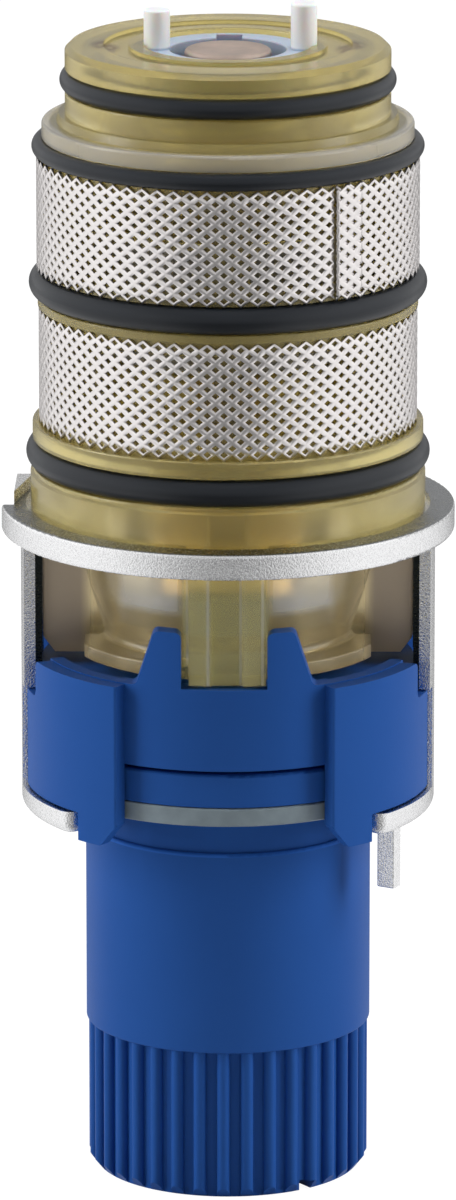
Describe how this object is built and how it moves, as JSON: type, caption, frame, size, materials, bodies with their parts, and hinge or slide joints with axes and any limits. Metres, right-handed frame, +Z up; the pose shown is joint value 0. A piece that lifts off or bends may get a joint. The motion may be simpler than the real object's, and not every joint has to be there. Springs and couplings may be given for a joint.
{
  "type": "thermostatic tap cartridge",
  "caption": "Thermostatic tap cartridge: see-through body with filter screens and seal rings, metal retaining frame, stop ring and splined spindle.",
  "frame": {"origin": "centre of the splined end's lowest face, on the axis", "axes": "+Z up the axis to the outlet, -Y towards the front key block, +X towards the post"},
  "size_m": [0.0399, 0.04, 0.1054],
  "materials": {
    "amber_moulding": "see-through amber moulding, slightly cloudy",
    "seal_rubber": "black, greased",
    "screen_metal": "expanded metal",
    "white_moulding": "natural white",
    "element_copper": "dull copper",
    "brass": "turned",
    "spring_steel": "drawn wire",
    "slide_moulding": "natural moulding",
    "frame_metal": "fine granular, matt silver",
    "blue_moulding": "satin blue",
    "washer_moulding": "grey, satin"
  },
  "bodies": {
    "cartridge_body": {"housing": "amber_moulding", "end_cap": "amber_moulding", "end_cap_oring": "seal_rubber", "upper_oring": "seal_rubber", "middle_oring": "seal_rubber", "lower_oring": "seal_rubber", "upper_filter_screen": "screen_metal", "lower_filter_screen": "screen_metal", "pin_insert": "white_moulding", "return_spring": "spring_steel", "retaining_frame": "frame_metal", "stop_ring": "blue_moulding", "slide_washer": "washer_moulding"},
    "control_slide": {"control_slide": "slide_moulding", "slide_seal": "seal_rubber", "wax_element": "element_copper", "element_guide": "brass"},
    "temperature_spindle": {"temperature_spindle": "blue_moulding", "spindle_oring": "seal_rubber"},
    "regulating_screw": {"regulating_screw": "brass", "overload_spring": "spring_steel", "plunger_retaining_ring": "spring_steel"},
    "overload_plunger": {"overload_plunger": "brass", "element_piston": "spring_steel"}
  },
  "joints": [
    {"name": "spindle_turn", "type": "hinge", "parent": "cartridge_body", "child": "temperature_spindle", "pos_m": [0, 0, 0], "axis": [0, 0, 1], "range_deg": [-150, 150]},
    {"name": "regulating_screw_travel", "type": "slide", "parent": "cartridge_body", "child": "regulating_screw", "axis": [0, 0, 1], "range_m": [-0.00255, 0.00255]},
    {"name": "overload_plunger_travel", "type": "slide", "parent": "regulating_screw", "child": "overload_plunger", "axis": [0, 0, 1], "range_m": [-0.002, 0], "stiffness_N_per_m": 1000, "springref_m": 0.0001, "deforming": ["overload_spring"]},
    {"name": "control_slide_travel", "type": "slide", "parent": "cartridge_body", "child": "control_slide", "axis": [0, 0, 1], "range_m": [-0.0004, 0.0004], "stiffness_N_per_m": 1000, "deforming": ["return_spring"]}
  ],
  "couplings": [
    {"joint": "regulating_screw_travel", "follows": "spindle_turn", "m_per_rad": 0.00095493}
  ]
}
